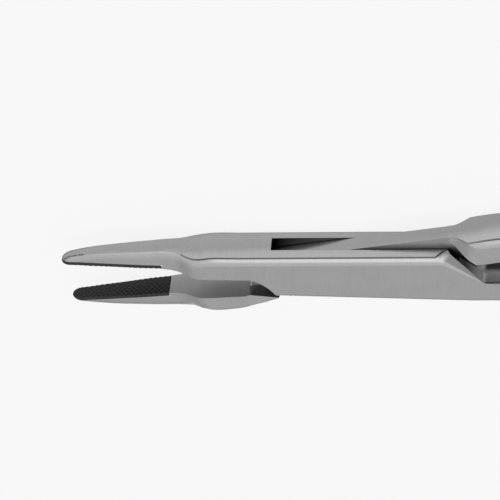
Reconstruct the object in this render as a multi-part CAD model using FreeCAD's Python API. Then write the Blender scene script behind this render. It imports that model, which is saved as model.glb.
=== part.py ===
import FreeCAD, Part

import math
import os

from FreeCAD import Vector

# A ring-handled needle holder with a box lock. Lengths are in millimetres.
# +X runs to the tips, +Z is the hinge axis, and the lock's underside lies on Z = 0.
# Both halves are drawn with the tips touching. The one that turns is then opened to rest.

# Whole instrument
overall_length = 180.0
tip_reach = 39.45
thickness = 5.66
rest_opening_deg = 10.0

# Box lock
lock_half_height = 3.77
lock_taper = 0.028
low_half_height = 4.25
low_taper = 0.02
lock_crown = 0.35
lock_chamfer = 0.6
lock_front = 15.5
lock_rear = -18.0
taper_end = -15.0
slot_half_width = 1.04
slot_reach = 11.2
slot_clearance = 0.06
end_clearance = 0.1
nose_top_x = 13.95
nose_middle_x = 12.1
nose_middle_fall = 1.3
nose_low_x = 10.75
nose_low_fall = 3.45
horn_x = 14.8
horn_angle_deg = 36.0
horn_full_x = 15.3
tail_cut_x = -16.7
tail_cut_angle_deg = 45.0
tail_gap = 0.35
tail_round = 1.0
tail_blend_front = -10.2
tail_blend_rear = -12.44
tail_blend_lean = 1.0
tail_sink = 1.55
tail_bend_fall = 1.4
flank_front = -12.3
flank_rear = -17.6
flank_lean = 0.43
web_drop = 0.4
web_blend = 1.6
shoulder_rise = 1.03
shoulder_height = 3.95
shoulder_start = 22.6
shoulder_full = 18.9
shoulder_fall = 0.65
fall_start = 17.4
fall_end = 12.9
neck_reach = 9.0
shoulder_step = 0.5
shank_inner = 0.4
lock_stations = 5

# Hinge pin
pin_radius = 1.5
pin_clearance = 0.03

# Jaws
jaw_length = 14.85
jaw_height = 3.3
slotted_jaw_power = 0.37
turning_jaw_power = 0.43
tip_back_half_width = 0.47
tip_grip_half_width = 0.85
back_growth = 0.045
grip_growth = 0.052
nose_round = 1.0
jaw_crown = 0.12
side_share = 0.52
side_lean = 0.02
jaw_rim = 0.7
flare_start = 24.8
flare_end = 20.4
waist_x = 21.5
waist_reach = 3.0
waist_depth = 0.38
tip_crowding = 2.6
jaw_stations = 9
root_stations = 7
shoulder_stations = 11

# Hard inserts in the jaws
insert_length = 13.55
insert_thickness = 0.65
toe_in_gap = 0.18

# Shanks, finger rings and ratchet
shank_start_width = 4.05
shank_end_width = 4.4
shank_end_thickness = 4.8
shank_end_centre = 12.0
shank_edge_round = 1.7
inner_edge_round = 0.15
shank_stations = 8
ring_inner_length = 27.0
ring_inner_width = 21.0
ring_end_radius = 8.5
ring_wall = 4.2
ring_centre_side = 19.0
ring_stations = 5
neck_length = 10.3
neck_spread = 2.0
neck_sink = 0.3
neck_stations = 5
bar_setback = 3.0
bar_length = 5.2
bar_reach = 5.0
bar_thickness = 2.2
bar_nose = 0.5
tooth_count = 3
tooth_pitch = 2.2
tooth_depth = 0.8
tooth_gap = 0.16
tooth_lead = 0.6

half = thickness / 2
insert_rear = tip_reach - insert_length
jaw_root = tip_reach - jaw_length
neck_half_width = slot_half_width - slot_clearance
neck_end_radius = slot_reach - end_clearance
far = 3 * (lock_half_height + lock_crown)
ring_centre_x = tip_reach - overall_length + ring_wall + ring_inner_length / 2
shank_end_x = ring_centre_x + ring_inner_length / 2 + ring_wall + neck_length
bar_x = shank_end_x + bar_setback


def smooth(t):
    """A soft step from 0 to 1 with no kink at either end."""
    t = min(max(t, 0.0), 1.0)
    return t ** 3 * (10 - 15 * t + 6 * t * t)


def lock_height(x):
    """Height of the lock's edge on the -Y side, growing towards the rings."""
    return lock_half_height - lock_taper * x


def low_height(x):
    """Height of the lock's edge on the +Y side."""
    return low_half_height - low_taper * x


def front_back(x, power):
    """Height of a jaw's back above the closing plane, in front of the jaw's root."""
    return jaw_height * (max(tip_reach - x, 0.0) / jaw_length) ** power


def slotted_back(x):
    """The back of the slotted jaw: it narrows to a waist and then rises to the lock."""
    if x >= jaw_root:
        return front_back(x, slotted_jaw_power)
    run = (jaw_root - x) / (jaw_root - lock_front)
    level = jaw_height + (lock_height(lock_front) - jaw_height) * smooth(run)
    off = min(abs(x - waist_x) / waist_reach, 1.0)
    return level - waist_depth * math.cos(off * math.pi / 2) ** 2


def turning_back(x):
    """The back of the turning jaw: it swells to a shoulder and falls again to the box."""
    if x >= jaw_root:
        return front_back(x, turning_jaw_power)
    swell = smooth((shoulder_start - x) / (shoulder_start - shoulder_full))
    fall = smooth((fall_start - x) / (fall_start - fall_end))
    return jaw_height + (shoulder_height - jaw_height) * swell - shoulder_fall * fall


def nose(x):
    """Share of the full width left near the rounded tip."""
    ahead = (tip_reach - x) / nose_round
    return math.sqrt(max(1 - (1 - ahead) ** 2, 0.0)) if ahead < 1 else 1.0


def flare(x):
    """How far a jaw has widened to the lock, from 0 to 1."""
    return smooth((flare_start - x) / (flare_start - flare_end))


def half_widths(x):
    """Half widths of a jaw at its back and at its gripping face."""
    ahead = tip_reach - x
    back = tip_back_half_width + back_growth * ahead
    grip = tip_grip_half_width + grip_growth * ahead
    lock_back = half - lock_chamfer
    back += (lock_back - back) * flare(x)
    grip += (half - grip) * flare(x)
    return back * nose(x), grip * nose(x)


def inner_height(x, root):
    """Height of a jaw's inner face: toed in along the insert, then running to the lock."""
    if x >= insert_rear:
        return toe_in_gap * (tip_reach - x) / insert_length
    run = min((insert_rear - x) / (insert_rear - lock_front), 1.0)
    return toe_in_gap + (root - toe_in_gap) * (run if root > 0 else smooth(web_blend * run))


def arc(a, b, c):
    return Part.Arc(a, b, c).toShape()


def crown_line(edge, crown):
    """A shallow bow from an edge point to its mirror image, rising by the crown."""
    curve = Part.BezierCurve()
    curve.setPoles([edge, Vector(edge.x, edge.y + 2 * crown, 0), mirrored(edge)])
    return curve.toShape()


def mirrored(p):
    return Vector(p.x, p.y, -p.z)


def corner_line(side, corner, edge, rounding):
    """The line round a corner: a flat chamfer at 0, a full round at 1."""
    middle = (side + edge) * 0.5
    curve = Part.BezierCurve()
    curve.setPoles([side, middle + (corner - middle) * rounding, edge])
    return curve.toShape()


def jaw_section(x, root, back_line):
    """Outline across a jaw: flat inner face, sides, broad rounds, crowned back."""
    top, low = back_line(x), inner_height(x, root)
    back, grip = half_widths(x)
    opened = flare(x)
    share = side_share + (1 - lock_chamfer / (top - low) - side_share) * opened
    crown = (jaw_crown + (lock_crown - jaw_crown) * opened) * nose(x)
    inner = Vector(x, low, grip)
    side = Vector(x, low + share * (top - low), grip * (1 - side_lean * (1 - opened)))
    edge = Vector(x, top, back)
    corner = Vector(x, top - jaw_rim * (side.z - back), side.z)
    return Part.Wire([
        Part.makeLine(mirrored(inner), inner),
        Part.makeLine(inner, side),
        corner_line(side, corner, edge, 1 - opened),
        crown_line(edge, crown),
        corner_line(mirrored(edge), mirrored(corner), mirrored(side), 1 - opened),
        Part.makeLine(mirrored(side), mirrored(inner)),
    ])


def bar_section(low, high, half_wide, rounds, crowns, rounding):
    """Outline across a bar: cut or rounded corners, and a crown on its low and high face."""
    parts = []
    ends = []
    for level, size, crown in ((high, rounds[1], crowns[1]), (low, -rounds[0], -crowns[0])):
        edge = Vector(0, level, half_wide - abs(size))
        side = Vector(0, level - size, half_wide)
        corner = Vector(0, level, half_wide)
        parts.append(corner_line(side, corner, edge, rounding))
        parts.append(crown_line(edge, crown))
        parts.append(corner_line(mirrored(edge), mirrored(corner), mirrored(side), rounding))
        ends.append(side)
    parts.append(Part.makeLine(ends[0], ends[1]))
    parts.append(Part.makeLine(mirrored(ends[0]), mirrored(ends[1])))
    return Part.Wire(Part.__sortEdges__(parts))


def placed(section, x, y=0.0, slope=0.0):
    """A section moved to its place along a bar and turned square to the bar's slope."""
    section.rotate(Vector(0, 0, 0), Vector(0, 0, 1), -math.degrees(math.atan(slope)))
    section.translate(Vector(x, y, 0))
    return section


def jaw(root, back_line, rear, rear_stations):
    """One whole jaw, from its tip back to where it ends in the lock, on the +Y side."""
    stations = []
    for i in range(1, jaw_stations + 1):
        stations.append(tip_reach - jaw_length * (i / jaw_stations) ** tip_crowding)
    for i in range(1, rear_stations + 1):
        stations.append(jaw_root + (rear - jaw_root) * i / rear_stations)
    sections = [jaw_section(x, root, back_line) for x in stations]
    return Part.makeLoft(sections, True, False)


def insert_slab():
    """The wedge of space that an insert fills, before the jaw's sides and face trim it."""
    front = tip_reach + nose_round
    drop = toe_in_gap / insert_length * nose_round
    return slab([
        Vector(insert_rear, -half, 0),
        Vector(front, -half, 0),
        Vector(front, insert_thickness - drop, 0),
        Vector(insert_rear, insert_thickness + toe_in_gap, 0),
    ], half)


def slab(points, half_wide):
    """A flat outline raised the same way to both sides of the middle plane."""
    base = [Vector(p.x, p.y, -half_wide) for p in points]
    return Part.Face(Part.makePolygon(base + [base[0]])).extrude(Vector(0, 0, 2 * half_wide))


def envelope():
    """The lock's outer form as one tapered bar, from its front to its rear."""
    step = (taper_end - lock_front) / lock_stations
    stations = [lock_front + step * i for i in range(lock_stations + 1)]
    levels = [(x, lock_height(x), low_height(x)) for x in stations]
    levels.append((lock_rear, shank_inner + shank_start_width, shank_inner + shank_start_width))
    cuts = (lock_chamfer, lock_chamfer)
    crowns = (lock_crown, lock_crown)
    wires = [placed(bar_section(-high, low, half, cuts, crowns, 0), x) for x, high, low in levels]
    return Part.makeLoft(wires, True, True)


def point(x, rise, z=0.0):
    """A point by its rise above the middle plane, towards the slotted half's jaw on -Y."""
    return Vector(x, -rise, z)


def tail_line(rise, gap=0.0):
    """X of the sloping rear end of a cheek."""
    return tail_cut_x - gap + (rise + shank_inner) / math.tan(math.radians(tail_cut_angle_deg))


def raised(edges, half_wide):
    """A closed flat outline raised the same way to both sides of the middle plane."""
    face = Part.Face(Part.Wire(edges))
    face.translate(Vector(0, 0, -half_wide))
    return face.extrude(Vector(0, 0, 2 * half_wide))


def nose_cut():
    """The space in front of the cheeks: their front ends curve down and back."""
    top = point(nose_top_x, -web_drop)
    middle = point(nose_middle_x, -web_drop - nose_middle_fall)
    low = point(nose_low_x, -web_drop - nose_low_fall)
    corners = [low, point(nose_low_x, -far), point(lock_front + far, -far),
               point(lock_front + far, -web_drop), top]
    lines = [Part.makeLine(corners[i], corners[i + 1]) for i in range(len(corners) - 1)]
    return raised([arc(top, middle, low)] + lines, thickness)


def wedge_cut(a, b, c, outward):
    """A large block on the outer side of the plane through three points."""
    normal = (b - a).cross(c - a)
    normal.normalize()
    if normal.dot(outward) < 0:
        normal = normal * -1
    size = 4 * far
    side = (b - a).normalize()
    up = normal.cross(side)
    start = a - side * size / 2 - up * size / 2
    corners = [start, start + side * size, start + side * size + up * size, start + up * size]
    return Part.Face(Part.makePolygon(corners + [start])).extrude(normal * size)


def both_sides(solid):
    """A cutter and its mirror image on the other side of the middle plane."""
    return [solid, solid.mirror(Vector(0, 0, 0), Vector(0, 0, 1))]


def cheek_plan():
    """The cheeks seen from above: a sloping rear end that runs softly into the shank."""
    angle = math.radians(tail_cut_angle_deg)
    corner = tail_line(-shank_inner)
    reach = tail_round * math.tan(angle / 2)
    start = point(corner - reach, -shank_inner)
    middle = point(start.x + tail_round * math.sin(angle / 2),
                   tail_round * (1 - math.cos(angle / 2)) - shank_inner)
    end = point(corner + reach * math.cos(angle), reach * math.sin(angle) - shank_inner)
    corners = [end, point(tail_line(far), far), point(lock_front, far), point(lock_front, -far),
               point(lock_rear, -far), point(lock_rear, -shank_inner), start]
    lines = [Part.makeLine(corners[i], corners[i + 1]) for i in range(len(corners) - 1)]
    return raised([arc(start, middle, end)] + lines, half)


def cheeks(form):
    """The slotted part of the lock, with its web in front and its web behind."""
    body = form.common(cheek_plan()).cut(nose_cut())
    slot = [
        point(-slot_reach, -far),
        point(slot_reach, -far),
        point(slot_reach + far, -far),
        point(slot_reach + far, -web_drop),
        point(slot_reach, -web_drop),
        point(slot_reach, far),
        point(lock_rear - far, far),
        point(lock_rear - far, -shank_inner),
        point(-slot_reach, -shank_inner),
    ]
    body = body.cut(slab(slot, slot_half_width))
    top = lock_height(tail_blend_rear)
    sunk = point(tail_blend_rear, top, half - tail_sink)
    start = point(tail_blend_front, top, half - lock_chamfer)
    lean = point(tail_blend_front - tail_blend_lean, top - lock_chamfer, half)
    bend = point(tail_line(top - tail_bend_fall) + tail_blend_lean, top - tail_bend_fall, half)
    low = point(tail_line(-shank_inner), -shank_inner, half)
    cuts = both_sides(wedge_cut(start, sunk, lean, Vector(0, 0, 1)))
    ahead = slab([
        point(low.x, -far), point(lock_front, -far), point(lock_front, far), point(low.x, far),
    ], far)
    cuts += both_sides(wedge_cut(bend, low, sunk, Vector(0, 0, 1)).common(ahead))
    return body.cut(cuts)


def turning_core(form):
    """The neck that turns in the slot, and the full-width shoulder behind it."""
    disc = Part.makeCylinder(neck_end_radius, thickness, Vector(0, 0, -half))
    rear = slab([
        point(0, shank_inner), point(0, far),
        point(lock_rear, far), point(lock_rear, shank_inner),
    ], half)
    limits = slab([
        point(lock_rear, -far), point(lock_front, -far),
        point(lock_front, far), point(lock_rear, far),
    ], neck_half_width)
    neck = form.common(limits).common(disc.fuse([rear]))
    tail = form.common(slab([
        point(tail_line(shank_inner, tail_gap), shank_inner),
        point(tail_line(far, tail_gap), far),
        point(lock_rear, far), point(lock_rear, shank_inner),
    ], half))
    return neck, tail


def horn_cut():
    """The space behind the turning jaw's shoulder, under a slope that leaves a horn."""
    fall = horn_x * math.tan(math.radians(horn_angle_deg))
    return slab([
        point(horn_x, -shoulder_rise), point(0, -shoulder_rise - fall), point(0, 0),
        point(horn_x, 0),
    ], thickness)


def narrowed(solid, full_x, thin_x, thin_half):
    """Cuts both sides of a shoulder so that it narrows from full width to a thin end."""
    a = Vector(full_x, 0, half)
    b = Vector(full_x, 1, half)
    c = Vector(thin_x, 0, thin_half)
    return solid.cut(both_sides(wedge_cut(a, b, c, Vector(0, 0, 1))))


def eased(solid, full_x, thin_x, thin_half):
    """Cuts both sides of a shoulder along a soft slanting bend, from full width to a thin end."""
    bend = (full_x + thin_x) / 2
    curve = Part.BezierCurve()
    curve.setPoles([
        Vector(full_x, -far, half), Vector(bend, -far, half),
        Vector(bend, -far, thin_half), Vector(thin_x, -far, thin_half),
    ])
    corners = [
        Vector(thin_x, -far, thin_half), Vector(thin_x + far, -far, thin_half),
        Vector(thin_x + far, -far, far), Vector(full_x, -far, far), Vector(full_x, -far, half),
    ]
    lines = [Part.makeLine(corners[i], corners[i + 1]) for i in range(len(corners) - 1)]
    face = Part.Face(Part.Wire([curve.toShape()] + lines))
    face.translate(Vector(-flank_lean * (far - lock_half_height), 0, 0))
    return solid.cut(both_sides(face.extrude(Vector(flank_lean, 1, 0) * 2 * far)))


def shank_line(x):
    """Height and slope of a shank's middle line, which bends gently outwards."""
    run = lock_rear - x
    whole = lock_rear - shank_end_x
    start = shank_inner + shank_start_width / 2
    bend = (shank_end_centre - start) / whole ** 2
    return start + bend * run ** 2, 2 * bend * run


def shank():
    """A shank on the +Y side, from the lock to the start of its finger ring."""
    wires = []
    for i in range(shank_stations + 1):
        share = i / shank_stations
        x = lock_rear + (shank_end_x - lock_rear) * share
        wide = (shank_start_width + (shank_end_width - shank_start_width) * share) / 2
        thick = (thickness + (shank_end_thickness - thickness) * share) / 2
        softness = smooth(2 * share)
        outer = lock_chamfer + (shank_edge_round - lock_chamfer) * softness
        inner = inner_edge_round + (shank_edge_round - inner_edge_round) * softness
        crown = lock_crown * (1 - softness)
        section = bar_section(-wide, wide, thick, (inner, outer), (0, crown), softness)
        wires.append(placed(section, x, *shank_line(x)))
    return Part.makeLoft(wires, True, True)


def ring_path():
    """The finger ring's middle line: an oval of four tangent arcs."""
    grown = ring_wall / 2
    length, width, tight = ring_inner_length / 2, ring_inner_width / 2, ring_end_radius
    reach = length - tight
    broad = (reach ** 2 + width ** 2 - tight ** 2) / (2 * (width - tight))
    turn = math.atan2(broad - width, reach)
    touch_x = reach + (tight + grown) * math.cos(turn)
    touch_y = (tight + grown) * math.sin(turn)
    corners = [(touch_x, touch_y), (-touch_x, touch_y), (-touch_x, -touch_y), (touch_x, -touch_y)]
    middles = [(0, width + grown), (-length - grown, 0), (0, -width - grown), (length + grown, 0)]
    edges = []
    for i in range(4):
        ends = [corners[i], middles[i], corners[(i + 1) % 4]]
        edges.append(arc(*[ring_point(x, y) for x, y in ends]))
    return Part.Wire(edges)


def ring_point(x, y):
    """A point on the finger ring's middle plane, measured from the ring's centre."""
    return Vector(ring_centre_x + x, ring_centre_side + y, 0)


def ring_section(spot, along):
    """The rounded section of the finger ring's bar, square to its middle line."""
    section = Part.Ellipse(Vector(0, 0, 0), shank_end_thickness / 2, ring_wall / 2).toShape()
    section.rotate(Vector(0, 0, 0), Vector(0, 1, 0), 90)
    section.rotate(Vector(0, 0, 0), Vector(0, 0, 1), math.degrees(math.atan2(along.y, along.x)))
    section.translate(spot)
    return Part.Wire([section])


def finger_ring():
    """An oval finger ring on the +Y side: a rounded bar bent along four tangent arcs."""
    sections = []
    for edge in ring_path().OrderedEdges:
        first, last = edge.ParameterRange
        for i in range(ring_stations):
            at = first + (last - first) * i / ring_stations
            sections.append(ring_section(edge.valueAt(at), edge.tangentAt(at)))
    return Part.makeLoft(sections, True, True, True)


def ring_neck():
    """The flared end of a shank, from its last section into the finger ring's wall."""
    centre, slope = shank_line(shank_end_x)
    along = Vector(-1, slope, 0).normalize()
    reach = shank_end_x - ring_centre_x - ring_inner_length / 2 - ring_wall / 2
    wires = []
    for i in range(neck_stations + 1):
        share = i / neck_stations
        wide = shank_end_width / 2 + neck_spread * share ** 3
        thick = (shank_end_thickness - neck_sink * smooth(share)) / 2
        rounds = (shank_edge_round, shank_edge_round)
        spot = Vector(shank_end_x, centre, 0) + along * (reach * share)
        section = bar_section(-wide, wide, thick, rounds, (0, 0), 1)
        wires.append(placed(section, spot.x, spot.y, slope))
    return Part.makeLoft(wires, True, True)


def ratchet():
    """A ratchet bar that reaches from the +Y shank across the middle, above the other one."""
    top = tooth_gap / 2 + bar_thickness
    under = tooth_gap / 2 + tooth_depth
    root = shank_line(bar_x + bar_length / 2)[0]
    points = [(root, top), (root, under)]
    for i in range(tooth_count):
        start = tooth_pitch * (tooth_count - 1 - i) - bar_reach + tooth_lead
        points.append((start + tooth_pitch, under))
        points.append((start, tooth_gap / 2))
        points.append((start, under))
    points += [(-bar_reach, under), (-bar_reach + bar_nose, top)]
    corners = [Vector(bar_x, y, z) for y, z in points]
    face = Part.Face(Part.makePolygon(corners + [corners[0]]))
    return face.extrude(Vector(bar_length, 0, 0))


def handle(over):
    """Shank, ratchet bar and finger ring on the +Y side. over puts the bar on top."""
    bar = ratchet()
    if not over:
        bar = bar.mirror(Vector(0, 0, 0), Vector(0, 0, 1))
    return [shank(), ring_neck(), finger_ring(), bar]


def to_other_side(solid):
    """Mirror image across the plane through the hinge axis and the tips."""
    return solid.mirror(Vector(0, 0, 0), Vector(0, 1, 0))


def pin_bore(radius):
    return Part.makeCylinder(radius, 2 * thickness, Vector(0, 0, -thickness))


def slotted_half():
    """The half with the box: its jaw on -Y, its shank and ring on +Y."""
    blank = to_other_side(jaw(-web_drop, slotted_back, lock_front, root_stations))
    pocket = to_other_side(insert_slab())
    body = cheeks(envelope()).fuse([blank.cut(pocket)] + handle(True))
    return body.cut(pin_bore(pin_radius)), blank.common(pocket)


def turning_half():
    """The half that passes through the box: its jaw on +Y, its shank and ring on -Y."""
    blank = jaw(shoulder_rise, turning_back, neck_reach, shoulder_stations)
    pocket = insert_slab()
    neck, tail = turning_core(envelope())
    front = blank.common(slab([
        point(neck_reach, 0), point(tip_reach, 0), point(tip_reach, -far), point(neck_reach, -far),
    ], neck_half_width))
    shoulder = blank.cut([pocket, horn_cut()])
    shoulder = narrowed(shoulder, horn_full_x, slot_reach, neck_half_width + shoulder_step)
    tail = eased(tail, flank_rear, flank_front, neck_half_width)
    bars = [to_other_side(s) for s in handle(False)]
    body = neck.fuse([shoulder, front.cut(pocket), tail] + bars)
    return body.cut(pin_bore(pin_radius + pin_clearance)), blank.common(pocket)


def hinge_pin():
    return Part.makeCylinder(pin_radius, thickness, Vector(0, 0, -half))


def save(name, solid, turned=0.0):
    """Writes one piece, lifted onto its underside and turned about the hinge axis."""
    shape = solid.removeSplitter()
    if len(shape.Solids) != 1:
        raise ValueError(name + " isn't one solid")
    shape = shape.Solids[0]
    shape.translate(Vector(0, 0, half))
    shape.rotate(Vector(0, 0, 0), Vector(0, 0, 1), turned)
    shape.exportStep("parts/" + name + ".step")


def main():
    os.makedirs("parts", exist_ok=True)
    slotted, slotted_insert = slotted_half()
    turning, turning_insert = turning_half()
    save("slotted_half", slotted)
    save("slotted_insert", slotted_insert)
    save("hinge_pin", hinge_pin())
    save("turning_half", turning, rest_opening_deg)
    save("turning_insert", turning_insert, rest_opening_deg)


main()
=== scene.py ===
import math

import bmesh
import bpy
from mathutils import Matrix, Vector


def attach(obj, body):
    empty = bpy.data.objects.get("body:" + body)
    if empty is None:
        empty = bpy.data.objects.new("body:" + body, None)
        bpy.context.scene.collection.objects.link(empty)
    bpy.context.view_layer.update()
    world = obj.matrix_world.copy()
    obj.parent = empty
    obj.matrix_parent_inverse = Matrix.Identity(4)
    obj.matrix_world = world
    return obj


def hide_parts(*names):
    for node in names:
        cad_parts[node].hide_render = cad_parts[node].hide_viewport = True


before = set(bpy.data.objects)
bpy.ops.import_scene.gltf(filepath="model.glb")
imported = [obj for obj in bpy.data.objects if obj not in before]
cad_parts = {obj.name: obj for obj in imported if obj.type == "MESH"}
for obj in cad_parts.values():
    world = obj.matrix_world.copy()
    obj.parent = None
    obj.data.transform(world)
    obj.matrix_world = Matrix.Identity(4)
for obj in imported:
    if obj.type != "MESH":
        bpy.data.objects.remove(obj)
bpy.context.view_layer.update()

mm = 0.001

# Where the lock's pin stands, and how the halves lie at rest
lock_middle = Vector((0, 0, 2.83 * mm))
rest_opening = math.radians(10)

# The camera: its height above the floor, its turn towards the rings, its roll and its distance
camera_elevation = math.radians(40)
camera_turn = math.radians(8.7)
camera_roll = math.radians(6.3)
camera_distance = 447 * mm
camera_lens = 244.8
aim_right = -14.21 * mm
aim_up = 1.79 * mm


# How bright the room is at each height, in front of the instrument and behind it
front_tones = ((0.0, 0.05), (0.2, 0.08), (0.36, 0.5), (0.55, 0.95), (1.0, 0.9))
back_tones = ((0.0, 0.4), (0.25, 0.5), (0.5, 0.65), (0.7, 0.74), (1.0, 0.92))

# Painted reflection: how bright the steel finds the floor, by its share of floor_reach from the
# middle line; the low tones right under the instrument are a painted shadow
floor_reach = 160 * mm
painted_floor_reflection_tones = (
    (0.0, 0.5), (0.012, 0.55), (0.025, 0.8), (0.06, 0.66), (0.11, 1.1), (0.17, 1.5),
    (0.32, 1.4), (0.55, 0.08))

# The lock and what lies next to it, as in the solids, with the lock shut
half = 2.83 * mm
chamfer = 0.6 * mm
crown = 0.35 * mm
lock_front = 15.5 * mm
flare_end = 20.4 * mm
front_height = 3.336 * mm
lock_height = 3.77 * mm
lock_taper = 0.028
neck_half = 1.02 * mm
neck_start = 14.8 * mm
tail_corner = -16.3 * mm

# The lock's front edge on the broad faces: a short step of it and the one that it joins
nose_step = Vector((11.06, 3.14)) * mm
nose_next = Vector((11.22, 2.85)) * mm

# The corner of the turning half's neck, drawn in behind the lock's edge
neck_corner_x = (8 * mm, 10.4 * mm)
neck_corner_y = 4 * mm
neck_corner_drop = 0.35 * mm

# Waves of the swept jaw: how far they reach along it, from which side, and how high they are
ripple_end = 17.3 * mm
ripple_side = -2.5 * mm
ripple = 0.1 * mm
edge_ripple = 0.07 * mm

# Which edges are worked on: the axis that one face looks along, how squarely, and between
# which shares the other face leans to that axis
soft_edge = (2, 0.985, 0.45, 0.9)
side_edge = (1, 0.93, 0.3, 0.9)
square_edge = (1, 0.93, -0.1, 0.3)

# Edges: soft rounds, flats darkened with painted shade, which end at line_end, and flats with a
# painted highlight
soft_width = 0.4 * mm
soft_steps = 5
flat_width = 0.11 * mm
highlight_width = 0.12 * mm
line_end = 23.5 * mm
tail_line = -9 * mm
line_angle, shallow_line = math.radians(26), math.radians(18)
flank_line, flank_level = -12 * mm, 1.2 * mm
highlight_reach = 1.1 * mm
sharp = math.radians(27)

# Painted shade, a darkening of the steel's colour: on the neck's sides, on the lock's sloping end
# and where the shanks part.
# Each pair says between which two values it fades, or what it fades from and to.
painted_shade_tone = 0.16
neck_fade = (1.1 * mm, neck_half)
flat_facing = (0.85, 0.95)
shade_front = (15 * mm, 14.6 * mm)
risen_span = (0.1 * mm, 1.7 * mm)
risen_tones = (painted_shade_tone, 0.8)
wall_span = (0.2 * mm, 0.1 * mm)
wall_facing = (-0.55, -0.65)
wall_fade = (-2.2 * mm, 0)
wall_strengths = (0.92, 0.3)
parting_start = (-16.4 * mm, -17 * mm)
parting_end = (-40 * mm, -25 * mm)
parting_facing = (-0.25, -0.5)
parting_side = (-3.2 * mm, -2.6 * mm)
deep_span = (0, 1.1 * mm)
deep_tones = (0.1, 1)
rim_span = (2.5 * mm, 2.62 * mm)
rim_tones = (1, 0.3)

# How far from the pin's axis the rounding of edges starts and is full
pin_edge = 1.7 * mm
pin_clear = 2.0 * mm

# The jaw inserts and their crossed cut
insert_rear = 25.9 * mm
jaw_tip = 39.45 * mm
toe_gap = 0.18 * mm
cut_pitch = 0.5 * mm
cut_depth = 0.1 * mm
cut_peak = 0.01 * mm
block_depth = 3 * mm

# The finger ring's oval, from its middle, and its bar
ring_middle = -122.85 * mm
ring_side = 19 * mm
end_middle, end_radius = 5 * mm, 10.6 * mm
side_middle, side_radius = 5.25 * mm, 17.85 * mm
ring_half_width, ring_half_height = 2.1 * mm, 2.4 * mm
ring_reach = 25 * mm
ring_slack = 0.12
ring_cuts = 3
ring_span = 1.2 * mm

# How near two measures of the mesh count as one
joined_gap = 0.002 * mm
near = 0.01 * mm


def look():
    """The camera, rolled so that the instrument hangs upside down as in the photograph."""
    e, d, r = camera_elevation, camera_turn, camera_roll
    back = Vector((-math.cos(e) * math.sin(d), -math.cos(e) * math.cos(d), math.sin(e)))
    right = Vector((-math.cos(d), math.sin(d), 0))
    up = back.cross(right)
    turned_right = right * math.cos(r) + up * math.sin(r)
    turned_up = back.cross(turned_right)
    aim = lock_middle + turned_right * aim_right + turned_up * aim_up
    data = bpy.data.cameras.new("camera")
    data.lens = camera_lens
    data.sensor_width = 36
    data.clip_start = 0.01
    data.clip_end = 20
    camera = bpy.data.objects.new("camera", data)
    axes = Matrix((turned_right, turned_up, back)).transposed()
    camera.matrix_world = Matrix.Translation(aim + back * camera_distance) @ axes.to_4x4()
    bpy.context.scene.collection.objects.link(camera)
    bpy.context.scene.camera = camera


def area_light(name, place, target, width, height, watts, tint=(1, 1, 1)):
    data = bpy.data.lights.new(name, "AREA")
    data.shape = "RECTANGLE"
    data.size = width
    data.size_y = height
    data.energy = watts
    data.color = tint
    light = bpy.data.objects.new(name, data)
    place, target = Vector(place), Vector(target)
    light.matrix_world = Matrix.Translation(place) @ (
        (target - place).to_track_quat("-Z", "Y").to_matrix().to_4x4())
    bpy.context.scene.collection.objects.link(light)
    return light


def studio():
    """Pale floor, soft lights and the tones of the room that the steel reflects."""
    bm = bmesh.new()
    bmesh.ops.create_grid(bm, x_segments=2, y_segments=2, size=8)
    mesh = bpy.data.meshes.new("floor")
    bm.to_mesh(mesh)
    bm.free()
    floor = bpy.data.objects.new("floor", mesh)
    bpy.context.scene.collection.objects.link(floor)
    mesh.materials.append(pale_floor())
    floor.visible_shadow = False

    area_light("key", (-0.12, -0.5, 0.72), (0, 0, 0), 0.75, 0.42, 0.7)
    room()


def pale_floor():
    """A near white sheet. In reflections it glows with painted tones: a painted shadow right under
    the instrument, pale close by and dark towards the bench's edge.
    """
    material = bpy.data.materials.new("pale_floor")
    material.use_nodes = True
    tree = material.node_tree
    tree.nodes.clear()
    paper = tree.nodes.new("ShaderNodeBsdfDiffuse")
    paper.inputs["Color"].default_value = (0.8, 0.8, 0.8, 1)
    place = tree.nodes.new("ShaderNodeTexCoord")
    split = tree.nodes.new("ShaderNodeSeparateXYZ")
    tree.links.new(place.outputs["Object"], split.inputs[0])
    aside = math_node(tree, "DIVIDE", math_node(tree, "ABSOLUTE", split.outputs["Y"]), floor_reach)
    tones = tree.nodes.new("ShaderNodeValToRGB")
    set_tones(tones, painted_floor_reflection_tones)
    tree.links.new(aside, tones.inputs["Fac"])
    # Painted reflection: the glow that glossy rays find in the floor
    painted_reflection_glow = tree.nodes.new("ShaderNodeEmission")
    tree.links.new(tones.outputs["Color"], painted_reflection_glow.inputs["Color"])
    glow = tree.nodes.new("ShaderNodeEmission")
    glow.inputs["Color"].default_value = (1, 1, 1, 1)
    glow.inputs["Strength"].default_value = 0.975
    path = tree.nodes.new("ShaderNodeLightPath")
    mixed = mix_shaders(tree, math_node(tree, "MULTIPLY", path.outputs["Is Glossy Ray"], 0.75),
                        paper, painted_reflection_glow)
    mixed = mix_shaders(tree, math_node(tree, "MULTIPLY", path.outputs["Is Camera Ray"], 0.88),
                        mixed, glow)
    out = tree.nodes.new("ShaderNodeOutputMaterial")
    tree.links.new(mixed.outputs[0], out.inputs["Surface"])
    return material


def mix_shaders(tree, share, first, second):
    mix = tree.nodes.new("ShaderNodeMixShader")
    tree.links.new(share, mix.inputs["Fac"])
    tree.links.new(first.outputs[0], mix.inputs[1])
    tree.links.new(second.outputs[0], mix.inputs[2])
    return mix


def set_tones(ramp, tones):
    ramp.color_ramp.interpolation = "EASE"
    stops = ramp.color_ramp.elements
    while len(stops) < len(tones):
        stops.new(0.5)
    for stop, (position, tone) in zip(stops, tones):
        stop.position = position
        stop.color = (tone, tone, tone, 1)


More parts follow.
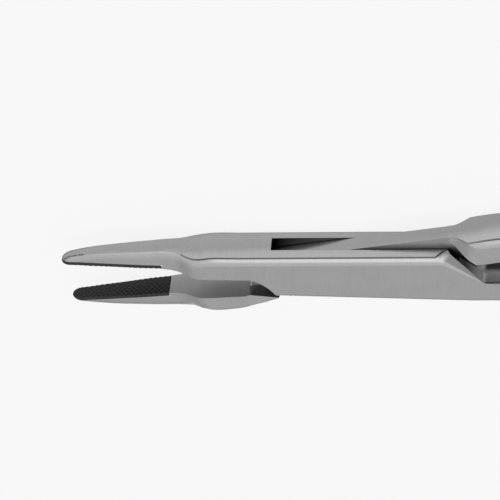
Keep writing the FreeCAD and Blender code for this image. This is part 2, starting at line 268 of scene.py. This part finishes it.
def room():
    """Soft grey walls that are dark at the height of the bench in front and pale above."""
    world = bpy.data.worlds.new("room")
    world.use_nodes = True
    bpy.context.scene.world = world
    tree = world.node_tree
    background = tree.nodes["Background"]
    place = tree.nodes.new("ShaderNodeTexCoord")
    split = tree.nodes.new("ShaderNodeSeparateXYZ")
    tree.links.new(place.outputs["Generated"], split.inputs[0])
    ramps = []
    for tones in (front_tones, back_tones):
        ramp = tree.nodes.new("ShaderNodeValToRGB")
        set_tones(ramp, tones)
        tree.links.new(split.outputs["Z"], ramp.inputs["Fac"])
        ramps.append(ramp)
    side = tree.nodes.new("ShaderNodeMapRange")
    side.interpolation_type = "SMOOTHSTEP"
    side.inputs["From Min"].default_value = -0.35
    side.inputs["From Max"].default_value = 0.35
    tree.links.new(split.outputs["Y"], side.inputs["Value"])
    mix = tree.nodes.new("ShaderNodeMix")
    mix.data_type = "RGBA"
    tree.links.new(side.outputs[0], mix.inputs[0])
    tree.links.new(ramps[0].outputs["Color"], mix.inputs[6])
    tree.links.new(ramps[1].outputs["Color"], mix.inputs[7])
    tree.links.new(mix.outputs[2], background.inputs["Color"])
    background.inputs["Strength"].default_value = 1
    bpy.context.scene.view_settings.view_transform = "Standard"


def edge_radius(tree, radius):
    """The rounding of the steel's edges, left out round the flush ends of the hinge pin."""
    place = tree.nodes.new("ShaderNodeTexCoord")
    flat = tree.nodes.new("ShaderNodeVectorMath")
    flat.operation = "MULTIPLY"
    flat.inputs[1].default_value = (1, 1, 0)
    tree.links.new(place.outputs["Object"], flat.inputs[0])
    reach = tree.nodes.new("ShaderNodeVectorMath")
    reach.operation = "LENGTH"
    tree.links.new(flat.outputs[0], reach.inputs[0])
    away = tree.nodes.new("ShaderNodeMapRange")
    away.inputs["From Min"].default_value = pin_edge
    away.inputs["From Max"].default_value = pin_clear
    away.inputs["To Max"].default_value = radius
    tree.links.new(reach.outputs["Value"], away.inputs["Value"])
    return away.outputs[0]


def add_socket(group, name, kind, value=None, out=False):
    socket = group.interface.new_socket(
        name=name, in_out="OUTPUT" if out else "INPUT", socket_type=kind)
    if value is not None:
        socket.default_value = value
    return socket


def math_node(tree, operation, first, second=None, third=None):
    node = tree.nodes.new("ShaderNodeMath")
    node.operation = operation
    for socket, value in zip(node.inputs, (first, second, third)):
        if value is None:
            continue
        if isinstance(value, (int, float)):
            socket.default_value = value
        else:
            tree.links.new(value, socket)
    return node.outputs[0]


def ranged(tree, value, low, high, to_low=0.0, to_high=1.0):
    node = tree.nodes.new("ShaderNodeMapRange")
    node.interpolation_type = "SMOOTHSTEP"
    for name, number in zip(("From Min", "From Max", "To Min", "To Max"),
                            (low, high, to_low, to_high)):
        node.inputs[name].default_value = number
    tree.links.new(value, node.inputs["Value"])
    return node.outputs[0]


def product(tree, first, *others):
    for value in others:
        first = math_node(tree, "MULTIPLY", first, value)
    return first


def neck_painted_shade(tree, spot, facing, level):
    """Painted shade on the broad sides of the neck, weaker where it rises out of the slot."""
    inside = ranged(tree, math_node(tree, "ABSOLUTE", level), *neck_fade)
    flat = ranged(tree, math_node(tree, "ABSOLUTE", facing.outputs["Z"]), *flat_facing)
    edge = math_node(tree, "MULTIPLY_ADD", spot.outputs["X"], -lock_taper, lock_height)
    past = math_node(tree, "SUBTRACT", math_node(tree, "MULTIPLY", spot.outputs["Y"], -1), edge)
    risen = ranged(tree, past, *risen_span, *risen_tones)
    behind = ranged(tree, spot.outputs["X"], *shade_front)
    return product(tree, inside, flat, behind, math_node(tree, "SUBTRACT", 1, risen))


def wall_painted_shade(tree, spot, facing, level):
    """Painted shade on the sloping wall that ends the lock towards the rings."""
    along = math_node(tree, "ADD", spot.outputs["X"], spot.outputs["Y"])
    off = math_node(tree, "ABSOLUTE", math_node(tree, "SUBTRACT", along, tail_corner))
    return product(tree, ranged(tree, off, *wall_span),
                   ranged(tree, facing.outputs["X"], *wall_facing),
                   ranged(tree, spot.outputs["Y"], *wall_fade, *wall_strengths))


def parting_painted_shade(tree, spot, facing, level):
    """Painted shade low on the inner side of the shanks, where they part behind the lock."""
    shade = math_node(tree, "MULTIPLY", ranged(tree, level, *deep_span, *deep_tones),
                      ranged(tree, level, *rim_span, *rim_tones))
    return product(tree, ranged(tree, spot.outputs["X"], *parting_start),
                   ranged(tree, spot.outputs["X"], *parting_end),
                   ranged(tree, facing.outputs["Y"], *parting_facing),
                   ranged(tree, spot.outputs["Y"], *parting_side),
                   math_node(tree, "SUBTRACT", 1, shade))


def lock_painted_shade(tree, place):
    """How much of the steel's tone the painted shade in the lock leaves."""
    spot = tree.nodes.new("ShaderNodeSeparateXYZ")
    tree.links.new(place.outputs["Object"], spot.inputs[0])
    facing = tree.nodes.new("ShaderNodeSeparateXYZ")
    tree.links.new(place.outputs["Normal"], facing.inputs[0])
    level = math_node(tree, "SUBTRACT", spot.outputs["Z"], half)
    return product(tree, *(
        math_node(tree, "SUBTRACT", 1, painted_shade(tree, spot, facing, level))
        for painted_shade in (neck_painted_shade, wall_painted_shade, parting_painted_shade)))


def satin_grain_and_shade():
    """Fine polishing marks across the steel, cloudy tone, painted shade in gaps and crevices and
    the painted shade in the lock.
    """
    group = bpy.data.node_groups.new("satin_grain_and_shade", "ShaderNodeTree")
    add_socket(group, "Tone", "NodeSocketFloat", 0.47)
    add_socket(group, "Roughness", "NodeSocketFloat", 0.3)
    add_socket(group, "Mark Depth", "NodeSocketFloat", 1.0)
    add_socket(group, "Turn", "NodeSocketFloat", 0.0)
    add_socket(group, "Color", "NodeSocketColor", out=True)
    add_socket(group, "Roughness", "NodeSocketFloat", out=True)
    add_socket(group, "Height", "NodeSocketFloat", out=True)
    given = group.nodes.new("NodeGroupInput")
    given_out = group.nodes.new("NodeGroupOutput")
    place = group.nodes.new("ShaderNodeTexCoord")
    turned = group.nodes.new("ShaderNodeVectorRotate")
    turned.rotation_type = "Z_AXIS"
    group.links.new(place.outputs["Object"], turned.inputs["Vector"])
    group.links.new(given.outputs["Turn"], turned.inputs["Angle"])

    def cloud(scales, detail, size=1.0):
        stretch = group.nodes.new("ShaderNodeMapping")
        stretch.inputs["Scale"].default_value = scales
        group.links.new(turned.outputs[0], stretch.inputs["Vector"])
        noise = group.nodes.new("ShaderNodeTexNoise")
        noise.inputs["Scale"].default_value = size
        noise.inputs["Detail"].default_value = detail
        group.links.new(stretch.outputs[0], noise.inputs["Vector"])
        return noise.outputs["Fac"]

    marks = cloud((7000, 420, 420), 2)
    fine = cloud((14000, 1500, 1500), 1)
    blotch = cloud((160, 220, 220), 3)
    long_marks = cloud((500, 6000, 6000), 2)

    # Painted shade: ambient occlusion darkens the tone in gaps and crevices
    crevice_occlusion = group.nodes.new("ShaderNodeAmbientOcclusion")
    crevice_occlusion.samples = 8
    crevice_occlusion.inputs["Distance"].default_value = 3.2 * mm
    painted_crevice_shade = group.nodes.new("ShaderNodeMapRange")
    painted_crevice_shade.inputs["From Min"].default_value = 0.05
    painted_crevice_shade.inputs["From Max"].default_value = 0.48
    painted_crevice_shade.inputs["To Min"].default_value = 0.1
    group.links.new(crevice_occlusion.outputs["AO"], painted_crevice_shade.inputs["Value"])

    tone = math_node(group, "MULTIPLY_ADD", math_node(group, "SUBTRACT", marks, 0.5), 0.16, 1.0)
    cloudy = math_node(group, "MULTIPLY_ADD", math_node(group, "SUBTRACT", blotch, 0.5), 0.14, 0.0)
    tone = math_node(group, "ADD", tone, cloudy)
    tone = math_node(group, "MULTIPLY", tone, given.outputs["Tone"])
    tone = math_node(group, "MULTIPLY", tone, painted_crevice_shade.outputs[0])
    # Painted shade in the lock: the tone is darkened by position
    tone = math_node(group, "MULTIPLY", tone, lock_painted_shade(group, place))
    grey = group.nodes.new("ShaderNodeCombineColor")
    for channel in ("Red", "Green", "Blue"):
        group.links.new(tone, grey.inputs[channel])
    group.links.new(grey.outputs[0], given_out.inputs["Color"])
    rough = math_node(group, "MULTIPLY_ADD", math_node(group, "SUBTRACT", blotch, 0.5), 0.12,
                      given.outputs["Roughness"])
    rough = math_node(group, "ADD", rough, math_node(
        group, "MULTIPLY", math_node(group, "SUBTRACT", fine, 0.5), 0.1))
    group.links.new(rough, given_out.inputs["Roughness"])
    height = math_node(group, "MULTIPLY_ADD", fine, 0.4, marks)
    height = math_node(group, "MULTIPLY_ADD", long_marks, 0.25, height)
    height = math_node(group, "MULTIPLY", height, given.outputs["Mark Depth"])
    group.links.new(height, given_out.inputs["Height"])
    return group


def steel(name, grain_and_shade, tone, roughness, turn=0.0, rounding=0.05 * mm):
    material = bpy.data.materials.new(name)
    material.use_nodes = True
    tree = material.node_tree
    shader = tree.nodes["Principled BSDF"]
    shader.inputs["Metallic"].default_value = 1
    # The group's colour holds the grain and the painted shade
    marks = tree.nodes.new("ShaderNodeGroup")
    marks.node_tree = grain_and_shade
    marks.inputs["Tone"].default_value = tone
    marks.inputs["Roughness"].default_value = roughness
    marks.inputs["Turn"].default_value = turn
    tree.links.new(marks.outputs["Color"], shader.inputs["Base Color"])
    tree.links.new(marks.outputs["Roughness"], shader.inputs["Roughness"])
    bump = tree.nodes.new("ShaderNodeBump")
    bump.inputs["Distance"].default_value = 0.0012 * mm
    tree.links.new(marks.outputs["Height"], bump.inputs["Height"])
    if rounding:
        edge = tree.nodes.new("ShaderNodeBevel")
        edge.samples = 6
        tree.links.new(edge_radius(tree, rounding), edge.inputs["Radius"])
        tree.links.new(edge.outputs[0], bump.inputs["Normal"])
    tree.links.new(bump.outputs[0], shader.inputs["Normal"])
    return material


def swept_flat(v):
    """Takes the faint waves of the swept jaw out where it runs into the flat-sided lock."""
    up = v.co.z - half
    if lock_front - 5 * near < v.co.x < flare_end and abs(up) > half - ripple:
        v.co.z = half + math.copysign(half, up)
    if not lock_front < v.co.x < ripple_end or v.co.y > ripple_side:
        return
    edge = half - chamfer
    if abs(v.co.z - half) > half - near:
        if v.co.y < ripple_side - ripple:
            v.co.y = chamfer - front_height
        return
    if abs(abs(up) - edge) < edge_ripple:
        v.co.z = half + math.copysign(edge, up)
    share = min(((v.co.z - half) / edge) ** 2, 1)
    v.co.y = -front_height - crown * (1 - share)


def leaning(edge, axis, flat, low, high):
    """Whether an edge stands between a face square to the axis and one that leans from it."""
    if len(edge.link_faces) != 2 or not edge.is_convex:
        return False
    a, b = sorted(abs(face.normal[axis]) for face in edge.link_faces)
    return b > flat and low < a < high


def join_corner(bm, spot, onto):
    """Draws a small step of the lock's front edge into the next one, on both faces."""
    joined = {}
    for v in bm.verts:
        if abs(abs(v.co.z - half) - half) > near or (v.co.xy - spot).length > 3 * near:
            continue
        for w in bm.verts:
            if abs(w.co.z - v.co.z) < near and (w.co.xy - onto).length < 3 * near:
                joined[v] = w
    bmesh.ops.weld_verts(bm, targetmap=joined)


def ring_reading(spot, side):
    """Where a point lies on the ring's bar: the middle of the arc it belongs to, the way out
    from there, and how far out and how high it is, in half widths of the bar."""
    across, along = side * spot.y - ring_side, spot.x - ring_middle
    quarter = Vector((abs(along), abs(across)))
    if math.atan2(quarter.y, quarter.x - end_middle) < math.atan2(side_middle, end_middle):
        middle, radius = Vector((end_middle, 0)), end_radius
    else:
        middle, radius = Vector((0, -side_middle)), side_radius
    out = quarter - middle
    return middle, out.normalized(), radius, out.length - radius, (spot.z - half)


def round_ring(bm, side):
    """Gives the finger ring's bar its true round: more sections, each on the oval."""
    def filling(v):
        if v.co.x > ring_middle + ring_reach:
            return math.inf
        away, high = ring_reading(v.co, side)[3:]
        return math.hypot(away / ring_half_width, high / ring_half_height)

    skin = {v for v in bm.verts if abs(filling(v) - 1) < ring_slack}
    spans = [e for e in bm.edges if e.verts[0] in skin and e.verts[1] in skin
             and e.calc_length() > ring_span]
    bmesh.ops.subdivide_edges(bm, edges=spans, cuts=ring_cuts, use_grid_fill=True)
    for v in bm.verts:
        size = filling(v)
        if abs(size - 1) > ring_slack:
            continue
        middle, out, radius, away, high = ring_reading(v.co, side)
        spot = middle + out * (radius + away / size)
        v.co.x = ring_middle + math.copysign(spot.x, v.co.x - ring_middle)
        v.co.y = side * (ring_side + math.copysign(spot.y, side * v.co.y - ring_side))
        v.co.z = half + high / size


def upright(edge):
    """Whether an edge gets a painted highlight: the steel's edge behind an insert and
    the corner where the turning half's neck starts."""
    low, high = edge.verts[0].co, edge.verts[1].co
    if (low.xy - high.xy).length > 2 * near or abs(low.z - high.z) < 1 * mm:
        return False
    return any(abs(low.x - x) < 5 * near and abs(low.y) < highlight_reach
               for x in (insert_rear, neck_start))


def merged_copy(node, name, turned):
    """A CAD node's mesh joined into one skin, worked on with the lock shut: a true ring, a
    soft round where the broad faces meet their chamfers, fine flats along the edges of
    the sides darkened with painted shade, and flats with a painted highlight on a few upright
    edges."""
    source = bpy.data.objects[node]
    closed = Matrix.Rotation(-turned, 4, "Z")
    bm = bmesh.new()
    bm.from_mesh(source.data)
    bm.transform(closed)
    bmesh.ops.remove_doubles(bm, verts=bm.verts, dist=joined_gap)
    for v in bm.verts:
        swept_flat(v)
    bmesh.ops.dissolve_limit(
        bm, angle_limit=math.radians(0.6), verts=bm.verts, edges=bm.edges,
        delimit={"NORMAL"})
    bmesh.ops.recalc_face_normals(bm, faces=bm.faces)

    if node == "slotted_half":
        join_corner(bm, nose_step, nose_next)
    if node == "turning_half":
        first, last = neck_corner_x
        for v in bm.verts:
            if first < v.co.x < last and v.co.y > neck_corner_y:
                v.co.y -= neck_corner_drop
    if node != "hinge_pin":
        round_ring(bm, 1 if node == "slotted_half" else -1)
    bm.normal_update()
    soft = [e for e in bm.edges if leaning(e, *soft_edge)]
    bmesh.ops.bevel(bm, geom=soft, offset=soft_width, segments=soft_steps, profile=0.5,
                    affect="EDGES", clamp_overlap=False)
    bm.normal_update()
    crisp = []
    for edge in bm.edges:
        spot = edge.verts[0].co
        if leaning(edge, *side_edge) and spot.x < line_end:
            if edge.calc_face_angle() > (shallow_line if spot.x < tail_line else line_angle):
                crisp.append(edge)
        elif node == "turning_half" and leaning(edge, *square_edge):
            if spot.x < flank_line and abs(spot.z - half) > flank_level:
                crisp.append(edge)
    # Narrow flats along the edges; their darker material is painted shade
    flats = set(bmesh.ops.bevel(bm, geom=crisp, offset=flat_width, segments=1, profile=0.5,
                                affect="EDGES", clamp_overlap=False)["faces"])
    # Flats with a painted highlight on a few upright edges
    highlight_edges = [e for e in bm.edges if upright(e)]
    bright = set(bmesh.ops.bevel(bm, geom=highlight_edges, offset=highlight_width, segments=1, profile=0.5,
                                 affect="EDGES", clamp_overlap=False)["faces"])
    for face in bm.faces:
        face.smooth = True
        face.material_index = 2 if face in bright else int(face in flats)
    for edge in bm.edges:
        joined = len(edge.link_faces) == 2 and edge.calc_face_angle() < sharp
        bordering = sum(face in flats or face in bright for face in edge.link_faces) == 1
        edge.smooth = joined and not bordering
    bm.transform(closed.inverted())
    mesh = bpy.data.meshes.new(name)
    bm.to_mesh(mesh)
    bm.free()
    piece = bpy.data.objects.new(name, mesh)
    bpy.context.scene.collection.objects.link(piece)
    weigh = piece.modifiers.new("weigh", "WEIGHTED_NORMAL")
    weigh.keep_sharp = True
    weigh.weight = 60
    return piece


def hatched_insert(node, turn, side):
    """A hard insert whose gripping face is cut crosswise into small pyramids."""
    source = bpy.data.objects[node]
    closed = Matrix.Rotation(-turn, 4, "Z")
    bm = bmesh.new()
    bm.from_mesh(source.data)
    bm.transform(closed)
    bmesh.ops.remove_doubles(bm, verts=bm.verts, dist=joined_gap)
    blank = linked(bm, node + "_blank")
    cutter = linked(pyramids(side), node + "_cut")
    trim = blank.modifiers.new("trim", "BOOLEAN")
    trim.operation = "INTERSECT"
    trim.solver = "EXACT"
    trim.object = cutter
    shaped = blank.evaluated_get(bpy.context.evaluated_depsgraph_get())
    bm = bmesh.new()
    bm.from_mesh(shaped.to_mesh())
    shaped.to_mesh_clear()
    bmesh.ops.remove_doubles(bm, verts=bm.verts, dist=1e-6)
    bm.transform(closed.inverted())
    for face in bm.faces:
        face.smooth = False
    piece = linked(bm, node + "_finish")
    for helper in (blank, cutter):
        bpy.data.objects.remove(helper)
    return piece


def linked(bm, name):
    mesh = bpy.data.meshes.new(name)
    bm.to_mesh(mesh)
    bm.free()
    piece = bpy.data.objects.new(name, mesh)
    bpy.context.scene.collection.objects.link(piece)
    return piece


def pyramids(side):
    """A block whose one face is all pyramids, laid along the insert's gripping face."""
    bm = bmesh.new()
    step = cut_pitch / math.sqrt(2)
    slope = toe_gap / (jaw_tip - insert_rear)
    columns = int((jaw_tip - insert_rear) / step) + 8
    rows = 14

    def spot(i, j, depth):
        x = insert_rear + (i - 3) * step
        z = half + j * step
        return bm.verts.new((x, side * (slope * (jaw_tip - x) + depth), z))

    grid = {}
    for i in range(columns):
        for j in range(-rows // 2, rows // 2 + 1):
            peak = (i + j) % 2
            grid[i, j] = spot(i, j, cut_peak if peak else cut_depth)
    low_corner, high_corner = -rows // 2, rows // 2
    for i in range(columns - 1):
        for j in range(low_corner, high_corner):
            a, b, c, d = grid[i, j], grid[i + 1, j], grid[i + 1, j + 1], grid[i, j + 1]
            if (i + j) % 2:
                bm.faces.new((a, b, d))
                bm.faces.new((b, c, d))
            else:
                bm.faces.new((a, b, c))
                bm.faces.new((a, c, d))
    rim = [e for e in bm.edges if e.is_boundary]
    deep = bmesh.ops.extrude_edge_only(bm, edges=rim)["geom"]
    for v in deep:
        if isinstance(v, bmesh.types.BMVert):
            v.co.y = side * block_depth
    bmesh.ops.holes_fill(bm, edges=[e for e in bm.edges if e.is_boundary])
    bmesh.ops.triangulate(bm, faces=[f for f in bm.faces if len(f.verts) > 4])
    bmesh.ops.recalc_face_normals(bm, faces=bm.faces)
    return bm


def dark_metal(name, grain_and_shade):
    """Dark sintered metal; the grain group's painted shade darkens the grooves between its high
    points.
    """
    material = bpy.data.materials.new(name)
    material.use_nodes = True
    tree = material.node_tree
    shader = tree.nodes["Principled BSDF"]
    shader.inputs["Metallic"].default_value = 1
    # The group's colour holds the grain and the painted shade
    marks = tree.nodes.new("ShaderNodeGroup")
    marks.node_tree = grain_and_shade
    marks.inputs["Tone"].default_value = 0.055
    marks.inputs["Roughness"].default_value = 0.42
    tree.links.new(marks.outputs["Color"], shader.inputs["Base Color"])
    tree.links.new(marks.outputs["Roughness"], shader.inputs["Roughness"])
    bump = tree.nodes.new("ShaderNodeBump")
    bump.inputs["Distance"].default_value = 0.003 * mm
    tree.links.new(marks.outputs["Height"], bump.inputs["Height"])
    tree.links.new(bump.outputs[0], shader.inputs["Normal"])
    return material


look()
studio()
grain_and_shade = satin_grain_and_shade()
for node, body, turn in (
        ("slotted_half", "slotted", 0), ("turning_half", "turning", rest_opening),
        ("hinge_pin", "slotted", 0)):
    piece = merged_copy(node, node + "_finish", turn)
    piece.data.materials.append(steel(node + "_steel", grain_and_shade, 0.47, 0.3, -turn))
    # Painted shade: the edge flats get a darker copy of the steel, deepening the dark line that
    # their tilt gives
    piece.data.materials.append(steel(node + "_edge", grain_and_shade, 0.3, 0.14, -turn, 0))
    # The bright copy of the steel is a painted highlight
    piece.data.materials.append(steel(node + "_painted_highlight", grain_and_shade, 0.95, 0.3, -turn, 0))
    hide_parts(node)
    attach(piece, body)

for node, body, turn, side in (
        ("slotted_insert", "slotted", 0, -1), ("turning_insert", "turning", rest_opening, 1)):
    piece = hatched_insert(node, turn, side)
    piece.data.materials.append(dark_metal(node + "_metal", grain_and_shade))
    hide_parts(node)
    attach(piece, body)
